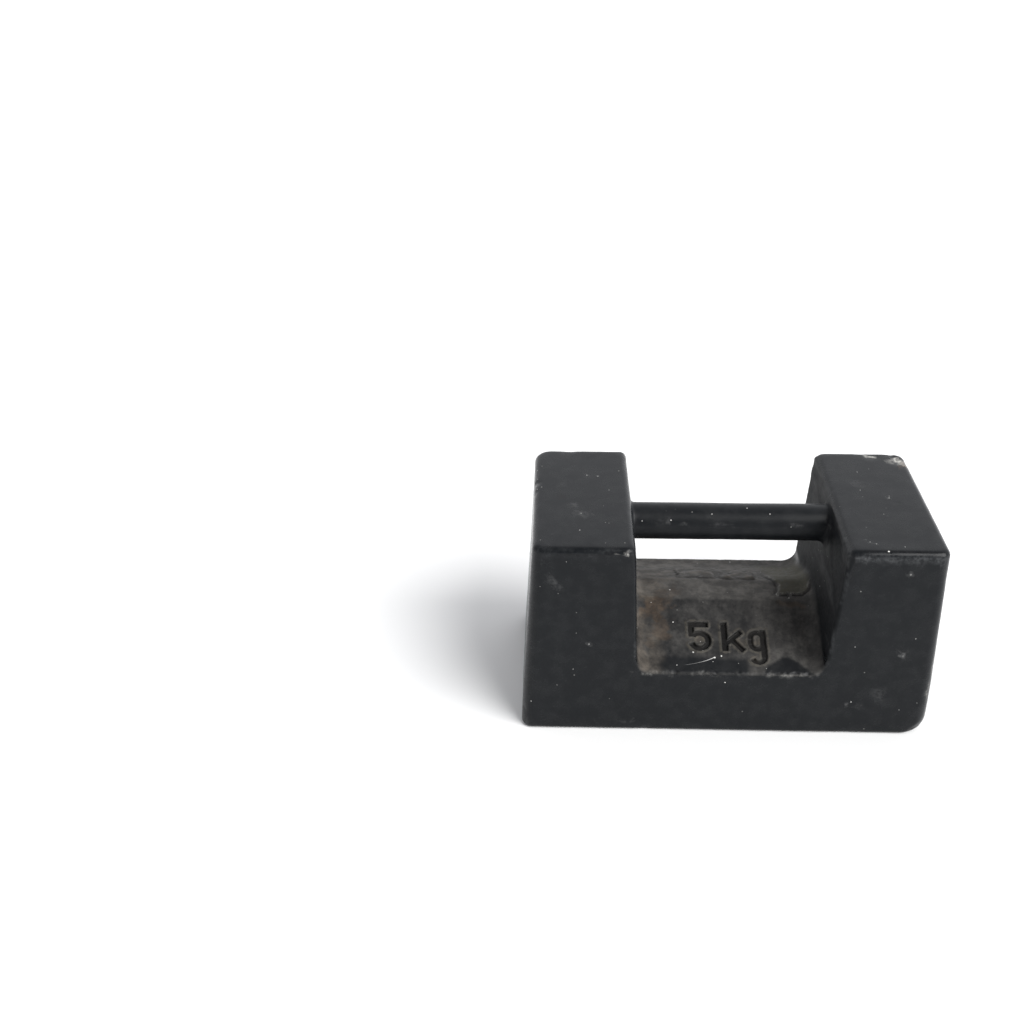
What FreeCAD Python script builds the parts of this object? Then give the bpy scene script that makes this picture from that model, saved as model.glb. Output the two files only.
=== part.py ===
# Five-kilogram rectangular bar weight: one iron casting.
#
# Frame: X runs along the length, Y along the depth, Z up.  The origin is the
# centre of the base, on the surface the weight stands on.  All sizes are in
# millimetres.
#
# Form: a block whose ends and long faces lean in towards the top, with a gap
# across its middle that leaves an upright at each end.  The floor of the gap
# is a low ridge that falls away to a lip on both long faces, and a plain round
# bar joins the two uprights over it as the grip.  Mass figures are sunk in the
# front slope of the ridge.
import FreeCAD, Part
import math
import os

os.makedirs("parts", exist_ok=True)

V = FreeCAD.Vector

# ---------------------------------------------------------------- dimensions
LENGTH_BASE = 157.0      # along X at the foot
LENGTH_TOP = 148.5       # along X over the tops of the uprights
DEPTH_BASE = 77.2        # along Y at the foot
DEPTH_TOP = 74.2         # along Y over the tops of the uprights
HEIGHT = 83.2

EDGE_CORNER = 4.4        # rounding of the upright outer corners
EDGE_CORNER_WORN = 6.4   # the rounder one, back left
EDGE_TOP = 2.6           # rounding round the tops of the uprights
EDGE_FOOT = 1.8          # rounding round the foot

GAP_LEFT = 37.1          # inner face of the left upright, at the top, in front
GAP_RIGHT = 38.2         # inner face of the right upright, at the top, in front
GAP_LEFT_BACK = 37.6     # the same two at the back, where the gap is wider
GAP_RIGHT_BACK = 39.0
GAP_DRAFT = 0.047        # how far each inner face comes in, per mm down
GAP_EDGE_FACE = 1.6      # rounding of the gap's edges on the long faces
GAP_ROOT = 5.4           # fillet between ridge and uprights

CREST_Z = 40.6           # top of the ridge
CREST_FLAT = 4.6         # half width of its flat top
CREST_ROUND = 9.0        # rounding from the flat top into the slope
SLOPE_DEG = 22.5         # fall of the slopes
LIP_Z = (28.7, 29.7)     # height of the lip on the front face and on the back face
LIP_RUN_DEG = 5.0        # fall of the last run before the lip
LIP_SWEEP = 26.0         # hollow between the slope and that last run

BAR_Z = 72.6             # height of the grip bar's axis
BAR_D = 14.1
BAR_ROOT = 1.4           # fillet where the bar runs into the uprights

FIG_HEIGHT = 12.4        # height of the figures along the slope
FIG_STROKE = 2.0         # width of their strokes
FIG_DEPTH = 1.0          # how deep they are sunk
FIG_FOOT_Y = -28.1       # foot of the figures, across the depth
FIG_X = -14.3            # left edge of the first figure

# ------------------------------------------------------------ derived values
SLOPE = math.radians(SLOPE_DEG)
LIP_RUN = math.radians(LIP_RUN_DEG)
DRAFT_Y = (DEPTH_BASE - DEPTH_TOP) / 2.0 / HEIGHT


def face_y(z):
    """Distance of a long face from the middle plane at height z."""
    return DEPTH_BASE / 2.0 - DRAFT_Y * z


def rect(lx, ly, z):
    return [V(-lx / 2, -ly / 2, z), V(lx / 2, -ly / 2, z),
            V(lx / 2, ly / 2, z), V(-lx / 2, ly / 2, z)]


def six_sided(lower, upper):
    """A solid with flat faces between two four-cornered ends."""
    loops = [lower, upper] + [[lower[i], lower[(i + 1) % 4], upper[(i + 1) % 4], upper[i]]
                              for i in range(4)]
    faces = [Part.Face(Part.makePolygon(q + [q[0]])) for q in loops]
    solid = Part.Solid(Part.Shell(faces))
    if solid.Volume < 0:
        solid.reverse()
    return solid


def edges_where(shape, test):
    return [e for e in shape.Edges if test(e)]


def mid(edge):
    return edge.valueAt((edge.FirstParameter + edge.LastParameter) / 2.0)


# ----------------------------------------------------------- the outer block
def outer_block():
    """The block with sharp edges, leaning in on all four sides."""
    return six_sided(rect(LENGTH_BASE, DEPTH_BASE, 0), rect(LENGTH_TOP, DEPTH_TOP, HEIGHT))


# ------------------------------------------- the ridge under the grip, as y, z
def ridge_side(x, s, lip_z):
    """Half of the ridge's profile at x, from the flat top outwards; s is -1 in front, 1 behind."""
    y0 = CREST_FLAT
    ts, tl = math.tan(SLOPE), math.tan(LIP_RUN)
    # shoulder, from the flat top into the slope
    cy, cz = y0, CREST_Z - CREST_ROUND
    a_end = (cy + CREST_ROUND * math.sin(SLOPE), cz + CREST_ROUND * math.cos(SLOPE))
    a_mid = (cy + CREST_ROUND * math.sin(SLOPE / 2), cz + CREST_ROUND * math.cos(SLOPE / 2))
    # the slope's line meets the last run's line, which goes through the lip
    lip_y = face_y(lip_z)
    ym = (a_end[1] - lip_z + a_end[0] * ts - lip_y * tl) / (ts - tl)
    zm = a_end[1] - (ym - a_end[0]) * ts
    # hollow between the two, its centre above the surface
    reach = LIP_SWEEP * math.tan((SLOPE - LIP_RUN) / 2.0)
    b_start = (ym - reach * math.cos(SLOPE), zm + reach * math.sin(SLOPE))
    b_end = (ym + reach * math.cos(LIP_RUN), zm - reach * math.sin(LIP_RUN))
    by = b_start[0] + LIP_SWEEP * math.sin(SLOPE)
    bz = b_start[1] + LIP_SWEEP * math.cos(SLOPE)
    half = (SLOPE + LIP_RUN) / 2.0
    b_mid = (by - LIP_SWEEP * math.sin(half), bz - LIP_SWEEP * math.cos(half))
    # run on past the face
    far = (b_end[0] + 12.0, b_end[1] - 12.0 * tl)

    def p(q):
        return V(x, s * q[0], q[1])

    edges = [Part.LineSegment(p(far), p(b_end)).toShape(),
             Part.Arc(p(b_end), p(b_mid), p(b_start)).toShape(),
             Part.LineSegment(p(b_start), p(a_end)).toShape(),
             Part.Arc(p(a_end), p(a_mid), p((y0, CREST_Z))).toShape()]
    return edges, p(far), p((y0, CREST_Z))


def gap_cutter():
    """What is taken out between the uprights, rounded where it meets them."""
    over = 10.0
    zt = HEIGHT + over
    x = -60.0
    front, far_f, top_f = ridge_side(x, -1, LIP_Z[0])
    back, far_b, top_b = ridge_side(x, 1, LIP_Z[1])
    flat = Part.LineSegment(top_f, top_b).toShape()
    cap = Part.makePolygon([far_b, V(x, far_b.y, zt), V(x, far_f.y, zt), far_f])
    wire = Part.Wire(Part.__sortEdges__(front + [flat] + back + list(cap.Edges)))
    section = Part.Face(wire).extrude(V(120, 0, 0))

    # the two inner faces come in going down, and stand further apart at the back
    def wall(y, left, right):
        zb = 15.0
        up, down = GAP_DRAFT * over, GAP_DRAFT * (HEIGHT - zb)
        return [V(-left + down, y, zb), V(right - down, y, zb),
                V(right + up, y, zt), V(-left - up, y, zt)]
    half = DEPTH_TOP / 2.0
    y_end = 80.0
    dl, dr = (GAP_LEFT_BACK - GAP_LEFT) / (2 * half), (GAP_RIGHT_BACK - GAP_RIGHT) / (2 * half)
    wedge = six_sided(wall(-y_end, GAP_LEFT - dl * (y_end - half), GAP_RIGHT - dr * (y_end - half)),
                      wall(y_end, GAP_LEFT_BACK + dl * (y_end - half),
                           GAP_RIGHT_BACK + dr * (y_end - half)))
    cutter = section.common(wedge)
    roots = edges_where(cutter, lambda e: abs(mid(e).x) > 30 and e.BoundBox.ZMax < CREST_Z + 0.5
                        and e.BoundBox.YLength > 0.5)
    return cutter.makeFillet(GAP_ROOT, roots)


# ------------------------------------------------------- the sunk mass figures
def stroke(x0, y0, x1, y1, w):
    """A straight stroke with square ends, as a flat face."""
    d = V(x1 - x0, y1 - y0, 0)
    d.normalize()
    n = V(-d.y, d.x, 0) * (w / 2.0)
    a, b = V(x0, y0, 0), V(x1, y1, 0)
    return Part.Face(Part.makePolygon([a + n, b + n, b - n, a - n, a + n]))


def bow(cx, cy, r, w, a0, a1):
    """A curved stroke of mid radius r from angle a0 to a1, in degrees."""
    ro, ri = r + w / 2.0, r - w / 2.0

    def at(rr, a):
        return V(cx + rr * math.cos(math.radians(a)), cy + rr * math.sin(math.radians(a)), 0)

    am = (a0 + a1) / 2.0
    outer = Part.Arc(at(ro, a0), at(ro, am), at(ro, a1)).toShape()
    inner = Part.Arc(at(ri, a1), at(ri, am), at(ri, a0)).toShape()
    e0 = Part.LineSegment(at(ro, a1), at(ri, a1)).toShape()
    e1 = Part.LineSegment(at(ri, a0), at(ro, a0)).toShape()
    return Part.Face(Part.Wire([outer, e0, inner, e1]))


def figures():
    """The figures as one set of solids, lying in the XY plane, foot on Y = 0."""
    w, h = FIG_STROKE, FIG_HEIGHT
    # "5": flag, stem and bowl
    x5, r5 = FIG_X, 3.3
    faces = [stroke(x5 + 0.5, h - w / 2, x5 + 7.8, h - w / 2, w),
             stroke(x5 + 1.3, h, x5 + 1.3, h * 0.50, w),
             bow(x5 + 4.35, r5 + w / 2, r5, w, -160, 138)]
    # "k": stem, arm and leg
    xk = FIG_X + 13.0
    faces += [stroke(xk + w / 2, 0, xk + w / 2, h, w),
              stroke(xk + w * 0.5, h * 0.24, xk + 7.3, h * 0.67, w * 0.9),
              stroke(xk + 3.2, h * 0.44, xk + 7.9, 0.2, w * 0.9)]
    # "g": tall bowl, stem and hooked tail
    xg, rg = FIG_X + 22.9, 2.45
    lo, hi = rg + w / 2, h * 0.74 - rg - w / 2
    gx = xg + rg + w / 2
    faces += [bow(gx, hi, rg, w * 0.9, 0, 180), bow(gx, lo, rg, w * 0.9, 180, 360),
              stroke(gx - rg, lo, gx - rg, hi, w * 0.9),
              stroke(gx + rg, h * 0.76, gx + rg, -2.4, w),
              bow(gx, -2.4, rg, w * 0.9, -155, 0)]
    solids = [f.extrude(V(0, 0, 6.0 + FIG_DEPTH)) for f in faces]
    mark = solids[0].multiFuse(solids[1:])
    mark.translate(V(0, 0, -FIG_DEPTH))
    return mark.removeSplitter()


def slope_z(y):
    """Height of the straight part of the slope at depth y, front or back."""
    zs = CREST_Z - CREST_ROUND + CREST_ROUND * math.cos(SLOPE)
    ys = CREST_FLAT + CREST_ROUND * math.sin(SLOPE)
    return zs - (abs(y) - ys) * math.tan(SLOPE)


# ------------------------------------------------------------------ the weight
def bar_weight():
    body = outer_block().cut(gap_cutter())

    # the four upright outer corners, the back left one rounder
    corners = edges_where(body, lambda e: abs(e.BoundBox.ZLength - HEIGHT) < 1e-3
                          and abs(mid(e).x) > 60)
    worn = [e for e in corners if mid(e).x < 0 and mid(e).y > 0]
    body = body.makeFillet(EDGE_CORNER, [e for e in corners if e not in worn])
    worn = edges_where(body, lambda e: abs(e.BoundBox.ZLength - HEIGHT) < 1e-3
                       and mid(e).x < -60 and mid(e).y > 0 and e.BoundBox.XLength > 3.5)
    body = body.makeFillet(EDGE_CORNER_WORN, worn)

    # the gap's outline on both long faces: down one upright, over the lip, up the other
    def outline(e):
        m = mid(e)
        return (abs(abs(m.y) - face_y(m.z)) < 0.05 and abs(m.x) < 45
                and m.z > 25 and e.BoundBox.ZMin < HEIGHT - 0.01)
    body = body.makeFillet(GAP_EDGE_FACE, edges_where(body, outline))

    # round the tops of the uprights, and round the foot
    body = body.makeFillet(EDGE_TOP, edges_where(body, lambda e: e.BoundBox.ZMin > HEIGHT - 0.01))
    body = body.makeFillet(EDGE_FOOT, edges_where(body, lambda e: e.BoundBox.ZMax < 0.01))

    # the grip bar, run 12 mm into each upright, then rounded at its roots
    x0, x1 = -GAP_LEFT - 12.0, GAP_RIGHT + 12.0
    bar = Part.makeCylinder(BAR_D / 2.0, x1 - x0, V(x0, 0, BAR_Z), V(1, 0, 0))
    body = body.fuse(bar)
    roots = edges_where(body, lambda e: abs(mid(e).x) > 30 and abs(mid(e).x) < 45
                        and abs(e.BoundBox.YLength - BAR_D) < 0.05
                        and abs(e.BoundBox.Center.z - BAR_Z) < 1.0)
    body = body.makeFillet(BAR_ROOT, roots)

    # the sunk figures on the front slope
    mark = figures()
    mark.rotate(V(0, 0, 0), V(1, 0, 0), SLOPE_DEG)
    mark.translate(V(0, FIG_FOOT_Y, slope_z(FIG_FOOT_Y)))
    body = body.cut(mark)

    solids = body.Solids
    assert len(solids) == 1 and solids[0].isValid(), "the weight must be one sound solid"
    return solids[0]


weight = bar_weight()
box = weight.BoundBox
print("box x %.2f %.2f  y %.2f %.2f  z %.2f %.2f" %
      (box.XMin, box.XMax, box.YMin, box.YMax, box.ZMin, box.ZMax))
print("volume %.1f cm3, mass at 7.1 g/cm3 %.3f kg" % (weight.Volume / 1000.0, weight.Volume * 7.1e-6))
weight.exportStep("parts/bar_weight.step")
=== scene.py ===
import math
import bpy
import bmesh
import numpy as np
from mathutils import Matrix, Vector


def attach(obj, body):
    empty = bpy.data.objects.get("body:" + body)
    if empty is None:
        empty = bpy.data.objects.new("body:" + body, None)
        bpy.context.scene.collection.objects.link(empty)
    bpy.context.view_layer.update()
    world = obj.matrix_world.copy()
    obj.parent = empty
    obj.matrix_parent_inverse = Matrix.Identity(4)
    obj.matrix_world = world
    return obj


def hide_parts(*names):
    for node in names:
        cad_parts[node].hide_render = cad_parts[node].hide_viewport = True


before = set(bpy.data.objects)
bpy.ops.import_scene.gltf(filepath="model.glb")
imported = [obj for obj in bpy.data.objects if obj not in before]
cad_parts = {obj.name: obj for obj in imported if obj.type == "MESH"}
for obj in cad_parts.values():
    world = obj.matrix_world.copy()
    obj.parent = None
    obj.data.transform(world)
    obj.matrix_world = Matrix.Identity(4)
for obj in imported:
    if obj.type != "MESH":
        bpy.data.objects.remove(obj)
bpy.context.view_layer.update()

# --------------------------------------------------------------------------
# 1. The casting's own shape, as a distance function
# --------------------------------------------------------------------------
LB, LT, DB, DT, H = 157.0, 148.5, 77.2, 74.2, 83.2
GL, GR, GLB, GRB, GDR = 37.1, 38.2, 37.6, 39.0, 0.047
GROOT = 5.4
CREST, CFLAT, CROUND = 40.6, 4.6, 9.0
SL, LR, SWEEP = math.radians(22.5), math.radians(5.0), 26.0
LIPF, LIPB = 28.7, 29.7
BARZ, BARR = 72.6, 7.05
FIG_H, FIG_W, FIG_FOOT, FIG_X, FIG_DEPTH = 12.4, 2.0, -28.1, -14.3, 1.0


def face_y(z):
    return DB / 2 - (DB - DT) / 2 / H * z


def half_profile(lip_z):
    """y, z points of one half of the ridge, from the middle outwards."""
    ts, tl = math.tan(SL), math.tan(LR)
    a_end = (CFLAT + CROUND * math.sin(SL), CREST - CROUND + CROUND * math.cos(SL))
    ly = face_y(lip_z)
    ym = (a_end[1] - lip_z + a_end[0] * ts - ly * tl) / (ts - tl)
    zm = a_end[1] - (ym - a_end[0]) * ts
    reach = SWEEP * math.tan((SL - LR) / 2)
    by = ym - reach * math.cos(SL) + SWEEP * math.sin(SL)
    bz = zm + reach * math.sin(SL) + SWEEP * math.cos(SL)
    pts = [(0.0, CREST), (CFLAT, CREST)]
    for t in np.linspace(0, SL, 14)[1:]:
        pts.append((CFLAT + CROUND * math.sin(t), CREST - CROUND + CROUND * math.cos(t)))
    for t in np.linspace(SL, LR, 22):
        pts.append((by - SWEEP * math.sin(t), bz - SWEEP * math.cos(t)))
    last = pts[-1]
    pts.append((last[0] + 30.0, last[1] - 30.0 * tl))
    return np.array(pts)


_F, _B = half_profile(LIPF), half_profile(LIPB)
PROF = np.vstack([np.column_stack([-_F[::-1, 0], _F[::-1, 1]]), _B[1:]])
_py = np.linspace(-60, 60, 2401)
_pz = np.interp(_py, PROF[:, 0], PROF[:, 1])
_ps = np.gradient(_pz, _py)
_pc = 1.0 / np.sqrt(1 + _ps ** 2)


def rmax(a, b, r):
    """Meet of two fields with a rounded outer edge of radius r."""
    qa, qb = a + r, b + r
    return np.sqrt(np.maximum(qa, 0) ** 2 + np.maximum(qb, 0) ** 2) + np.minimum(np.maximum(qa, qb), 0) - r


def rmin(a, b, r):
    """Join of two fields with a fillet of radius r."""
    ua, ub = np.maximum(r - a, 0), np.maximum(r - b, 0)
    return np.maximum(r, np.minimum(a, b)) - np.sqrt(ua * ua + ub * ub)


def sstep(x, a, b):
    t = np.clip((x - a) / (b - a), 0, 1)
    return t * t * (3 - 2 * t)


def shape(x, y, z):
    """Signed distance to the plain casting, negative inside."""
    hx = LB / 2 - (LB - LT) / 2 / H * z
    hy = DB / 2 - (DB - DT) / 2 / H * z
    r = 4.4 + 2.0 * ((x < 0) & (y > 0)) + 1.2 * ((x > 0) & (y < 0)) * sstep(z, 22, 0)
    qx, qy = (np.abs(x) - hx) * 0.9987 + r, (np.abs(y) - hy) * 0.9998 + r
    block = np.sqrt(np.maximum(qx, 0) ** 2 + np.maximum(qy, 0) ** 2) + np.minimum(np.maximum(qx, qy), 0) - r
    block = rmax(block, z - H, 2.6)
    block = rmax(block, -z, 1.8)
    # the worn foot corner, front right
    cut = (x * 0.62 - y * 0.46 - z * 0.64) - 64.3
    block = rmax(block, cut, 5.0)
    # the gap
    t = (y + DT / 2) / DT
    gl = GL + (GLB - GL) * t - GDR * (H - z)
    gr = GR + (GRB - GR) * t - GDR * (H - z)
    walls = np.maximum(-gl - x, x - gr) * 0.9989
    pz = np.interp(y, _py, _pz)
    pc = np.interp(y, _py, _pc)
    floor = (pz - z) * pc
    gap = rmax(walls, floor, GROOT)
    edge = 1.6 + 1.0 * sstep(z, H - 9, H - 3)
    body = rmax(block, -gap, edge)
    # the grip bar with small rounded roots, fuller under its right end
    bar = np.sqrt(y * y + (z - BARZ) ** 2) - BARR
    bar = np.maximum(bar, np.abs(x) - 48.0)
    root = 1.4 + 2.4 * sstep(x, 25, 34) * sstep(z, BARZ + 1, BARZ - 6)
    return rmin(body, bar, root)


def gradient(x, y, z, e=0.05):
    gx = shape(x + e, y, z) - shape(x - e, y, z)
    gy = shape(x, y + e, z) - shape(x, y - e, z)
    gz = shape(x, y, z + e) - shape(x, y, z - e)
    n = np.sqrt(gx * gx + gy * gy + gz * gz) + 1e-12
    return gx / n, gy / n, gz / n, n / (2 * e)


# --------------------------------------------------------------------------
# 2. Noise
# --------------------------------------------------------------------------
def _hash(ix, iy, iz, seed):
    h = (ix.astype(np.uint32) * np.uint32(374761393) + iy.astype(np.uint32) * np.uint32(668265263)
         + iz.astype(np.uint32) * np.uint32(2246822519) + np.uint32((seed * 3266489917) & 0xffffffff))
    h ^= h >> np.uint32(15)
    h *= np.uint32(2246822519)
    h ^= h >> np.uint32(13)
    h *= np.uint32(3266489917)
    h ^= h >> np.uint32(16)
    return h.astype(np.float64) / 4294967296.0


def noise(x, y, z, size, seed):
    """Smooth value noise from -1 to 1, with that feature size in mm."""
    X, Y, Z = x / size, y / size, z / size
    fx, fy, fz = np.floor(X), np.floor(Y), np.floor(Z)
    ix, iy, iz = fx.astype(np.int64), fy.astype(np.int64), fz.astype(np.int64)
    u, v, w = X - fx, Y - fy, Z - fz
    u, v, w = (a * a * a * (a * (a * 6 - 15) + 10) for a in (u, v, w))
    out = 0.0
    for dx in (0, 1):
        wx = u if dx else 1 - u
        for dy in (0, 1):
            wy = v if dy else 1 - v
            for dz in (0, 1):
                wz = w if dz else 1 - w
                out = out + wx * wy * wz * _hash(ix + dx, iy + dy, iz + dz, seed)
    return out * 2 - 1


def fbm(x, y, z, size, seed, octaves=3, gain=0.5):
    total, amp, norm = 0.0, 1.0, 0.0
    for k in range(octaves):
        # each octave is turned a little, so that the lattice doesn't show
        c, s = math.cos(0.7 * k + 0.4), math.sin(0.7 * k + 0.4)
        a, b = c * x - s * y, s * x + c * y
        b2, d = c * b - s * z, s * b + c * z
        total = total + amp * noise(a, b2, d, size / 2 ** k, seed + 17 * k)
        norm += amp
        amp *= gain
    return total / norm


# --------------------------------------------------------------------------
# 3. What is sunk in the surface or stands on it
# --------------------------------------------------------------------------
def _slope_z(y):
    zs = CREST - CROUND + CROUND * math.cos(SL)
    ys = CFLAT + CROUND * math.sin(SL)
    return zs - (abs(y) - ys) * math.tan(SL)


def seg(u, v, x0, y0, x1, y1, w):
    """Distance to a straight stroke with square ends."""
    dx, dy = x1 - x0, y1 - y0
    ln = math.hypot(dx, dy)
    dx, dy = dx / ln, dy / ln
    a = (u - (x0 + x1) / 2) * dx + (v - (y0 + y1) / 2) * dy
    b = -(u - (x0 + x1) / 2) * dy + (v - (y0 + y1) / 2) * dx
    qa, qb = np.abs(a) - ln / 2, np.abs(b) - w / 2
    return np.sqrt(np.maximum(qa, 0) ** 2 + np.maximum(qb, 0) ** 2) + np.minimum(np.maximum(qa, qb), 0)


def bow(u, v, cx, cy, r, w, a0, a1):
    """Distance to a curved stroke from a0 to a1 degrees."""
    du, dv = u - cx, v - cy
    rad = np.sqrt(du * du + dv * dv)
    ring = np.abs(rad - r) - w / 2
    mid, half = math.radians((a0 + a1) / 2), math.radians((a1 - a0) / 2)
    ang = np.abs((np.arctan2(dv, du) - mid + math.pi) % (2 * math.pi) - math.pi)
    over = (ang - half) * rad
    return np.where(over <= 0, ring, np.sqrt(np.maximum(ring, 0) ** 2 + np.maximum(over, 0) ** 2))


def figures(u, v):
    w, h = FIG_W, FIG_H
    x5, r5 = FIG_X, 3.3
    xk = FIG_X + 13.0
    xg, rg = FIG_X + 22.9, 2.45
    lo, hi = rg + w / 2, h * 0.74 - rg - w / 2
    gx = xg + rg + w / 2
    parts = [
        seg(u, v, x5 + 0.5, h - w / 2, x5 + 7.8, h - w / 2, w),
        seg(u, v, x5 + 1.3, h, x5 + 1.3, h * 0.50, w),
        bow(u, v, x5 + 4.35, r5 + w / 2, r5, w, -160, 138),
        seg(u, v, xk + w / 2, 0, xk + w / 2, h, w),
        seg(u, v, xk + w * 0.5, h * 0.24, xk + 7.3, h * 0.67, w * 0.9),
        seg(u, v, xk + 3.2, h * 0.44, xk + 7.9, 0.2, w * 0.9),
        bow(u, v, gx, hi, rg, w * 0.9, 0, 180), bow(u, v, gx, lo, rg, w * 0.9, 180, 360),
        seg(u, v, gx - rg, lo, gx - rg, hi, w * 0.9),
        seg(u, v, gx + rg, h * 0.76, gx + rg, -2.4, w),
        bow(u, v, gx, -2.4, rg, w * 0.9, -155, 0)]
    d = parts[0]
    for p in parts[1:]:
        d = np.minimum(d, p)
    return d


def slope_uv(x, y, z):
    return x, (y - FIG_FOOT) * math.cos(SL) + (z - _slope_z(FIG_FOOT)) * math.sin(SL)


def poly(u, v, pts):
    """Signed distance to a closed outline, negative inside."""
    pts = np.array(pts, float)
    d = np.full(np.shape(u), 1e9)
    inside = np.zeros(np.shape(u), bool)
    for i in range(len(pts)):
        ax, ay = pts[i]
        bx, by = pts[(i + 1) % len(pts)]
        ex, ey = bx - ax, by - ay
        wx, wy = u - ax, v - ay
        t = np.clip((wx * ex + wy * ey) / (ex * ex + ey * ey), 0, 1)
        d = np.minimum(d, (wx - ex * t) ** 2 + (wy - ey * t) ** 2)
        cross = (ay > v) != (by > v)
        with np.errstate(divide="ignore", invalid="ignore"):
            xi = ax + (v - ay) * ex / (ey if ey else 1e-9)
        inside ^= cross & (u < xi)
    return np.sqrt(d) * np.where(inside, -1, 1)


def pad_edge(x, y, z):
    """Outline of the blank pad, about 31 by 14 mm, negative inside."""
    d = seg(x + 0.6, y - 15.2, -15.6, 0.2, 15.2, -0.2, 14.5)
    return d + 1.1 * noise(x, y, z, 4.3, 51) + 0.45 * noise(x, y, z, 1.8, 53)


def pad_lumps(x, y, z):
    return 0.46 * noise(x, y * 0.55, z * 0.55, 4.2, 55) + 0.30 * noise(x, y * 0.7, z, 2.1, 57)


def skin_edge(x, y, z):
    """Torn edge of the thin overrun skin, negative inside."""
    d = poly(x, y, [(16.5, 33), (18.5, 17), (20.8, 10.4), (23.6, 2.2), (22.4, -2.9), (25.8, -3.2), (28.6, -2.6),
                    (31.5, -2.9), (34.6, -1.4), (36.4, 3.4), (44, 6), (44, 33)])
    return d + 0.55 * noise(x, y, z, 3.1, 61) + 0.30 * noise(x, y, z, 1.3, 63)


def on_ridge(x, y, z):
    """1 on the floor of the gap, fading out up the walls and over the lips."""
    return sstep(z, 46, 42) * sstep(np.abs(y), 38.6, 37.6) * sstep(np.abs(x - 0.5), 37, 34) * (z > 20)


def relief(x, y, z, nx, ny, nz):
    """How far the real surface stands out from the plain casting, in mm."""
    ridge = on_ridge(x, y, z) * sstep(nz, 0.3, 0.6)
    wall = sstep(np.abs(nx), 0.7, 0.95) * (np.abs(x) < 40)
    h = 0.10 * noise(x, y, z, 23, 3) + 0.055 * noise(x, y, z, 9, 5) + 0.035 * fbm(x, y, z, 3.6, 7, 2)
    h = h + (0.09 * ridge + 0.03 * wall) * fbm(x, y, z, 3.0, 11, 3, 0.55)
    # rough iron high on the right inner wall, round the bar's end
    rough = wall * sstep(x, 30, 33) * sstep(z, 50, 60) * sstep(z, H + 1, H - 2)
    lump = fbm(x, y * 0.26, z * 0.8, 4.6, 23, 2, 0.4)
    h = h + rough * (0.60 * np.maximum(lump, -0.2) + 0.03 * fbm(x, y * 0.5, z, 1.6, 29, 2))
    # sunk figures
    u, v = slope_uv(x, y, z)
    near = (np.abs(u) < 22) & (v > -8) & (v < 18) & (y < -8) & (z < 46) & (nz > 0.5)
    wob = 0.10 * noise(x, y, z, 2.2, 41) + 0.05 * noise(x, y, z, 0.9, 43)
    d = np.where(near, figures(u, v) + wob, 9.0)
    h = h - FIG_DEPTH * sstep(d, 0.22, -0.24)
    h = h + 0.14 * np.exp(-((d - 0.55) / 0.45) ** 2) * near
    # a blank raised pad on the ridge's back slope, worn uneven
    pad = pad_edge(x, y, z)
    back = ridge * (y > 0)
    h = h + back * sstep(pad, 0.5, -0.6) * (0.60 + pad_lumps(x, y, z))
    # a thin skin of overrun iron at the ridge's back right, with a torn edge
    edge = skin_edge(x, y, z)
    skin = sstep(x, 14.5, 17.5) * ridge * sstep(y, 17, 10)
    h = h + skin * (0.62 * sstep(edge, 0.35, -0.30) - 0.28 * np.exp(-((edge - 0.75) / 0.55) ** 2))
    # nicks along the front lip
    lip = np.exp(-((z - LIPF) / 1.5) ** 2) * np.exp(-((y + 37.6) / 1.6) ** 2) * (np.abs(x) < 35)
    h = h - lip * 0.30 * sstep(fbm(x, y, z, 2.0, 71, 2), 0.05, 0.45)
    # bruises on the top edges and corners
    bru = [(71.4, 30.2, H + 0.2, 3.0, 0.50), (69.5, 35.4, H - 0.2, 2.4, 0.25), (60.2, 33.2, H + 0.1, 2.2, 0.22),
           (57.0, 37.2, H - 0.1, 2.6, 0.15),
           (-38.4, -36.2, H - 1.4, 2.1, 0.6), (-42.5, -37.4, H - 1.0, 1.5, 0.20), (-47.0, -37.4, H - 1.2, 1.2, 0.22),
           (-73.4, 10.0, H - 0.6, 1.8, 0.3), (-73.9, 3.0, H - 0.9, 1.4, 0.25), (74.0, -36.4, 2.0, 3.0, 0.5),
           (38.5, -36.6, 71.5, 1.7, 0.35), (76.2, -38.0, 20.0, 1.8, 0.25), (-78.0, -37.0, 9.0, 1.6, 0.25),
           (40.0, 36.8, H - 1.0, 2.2, 0.3), (-60.0, 37.4, H - 0.6, 2.4, 0.3), (12.0, 38.6, 1.0, 2.4, 0.4),
           (-30.0, -38.6, 0.8, 2.0, 0.3)]
    for bx, by, bz, br, bd in bru:
        r2 = (x - bx) ** 2 + (y - by) ** 2 + (z - bz) ** 2
        h = h - bd * np.exp(-r2 / (br * br)) * (1 + 0.5 * noise(x, y, z, 1.6, 81))
    # shallow casting pits here and there
    pit = noise(x, y, z, 2.4, 91) * 0.7 + noise(x, y, z, 1.3, 93) * 0.5
    h = h - 0.04 * sstep(pit, 0.66, 0.95) * (ny > -0.5) * (nz < 0.7)
    return h


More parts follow.
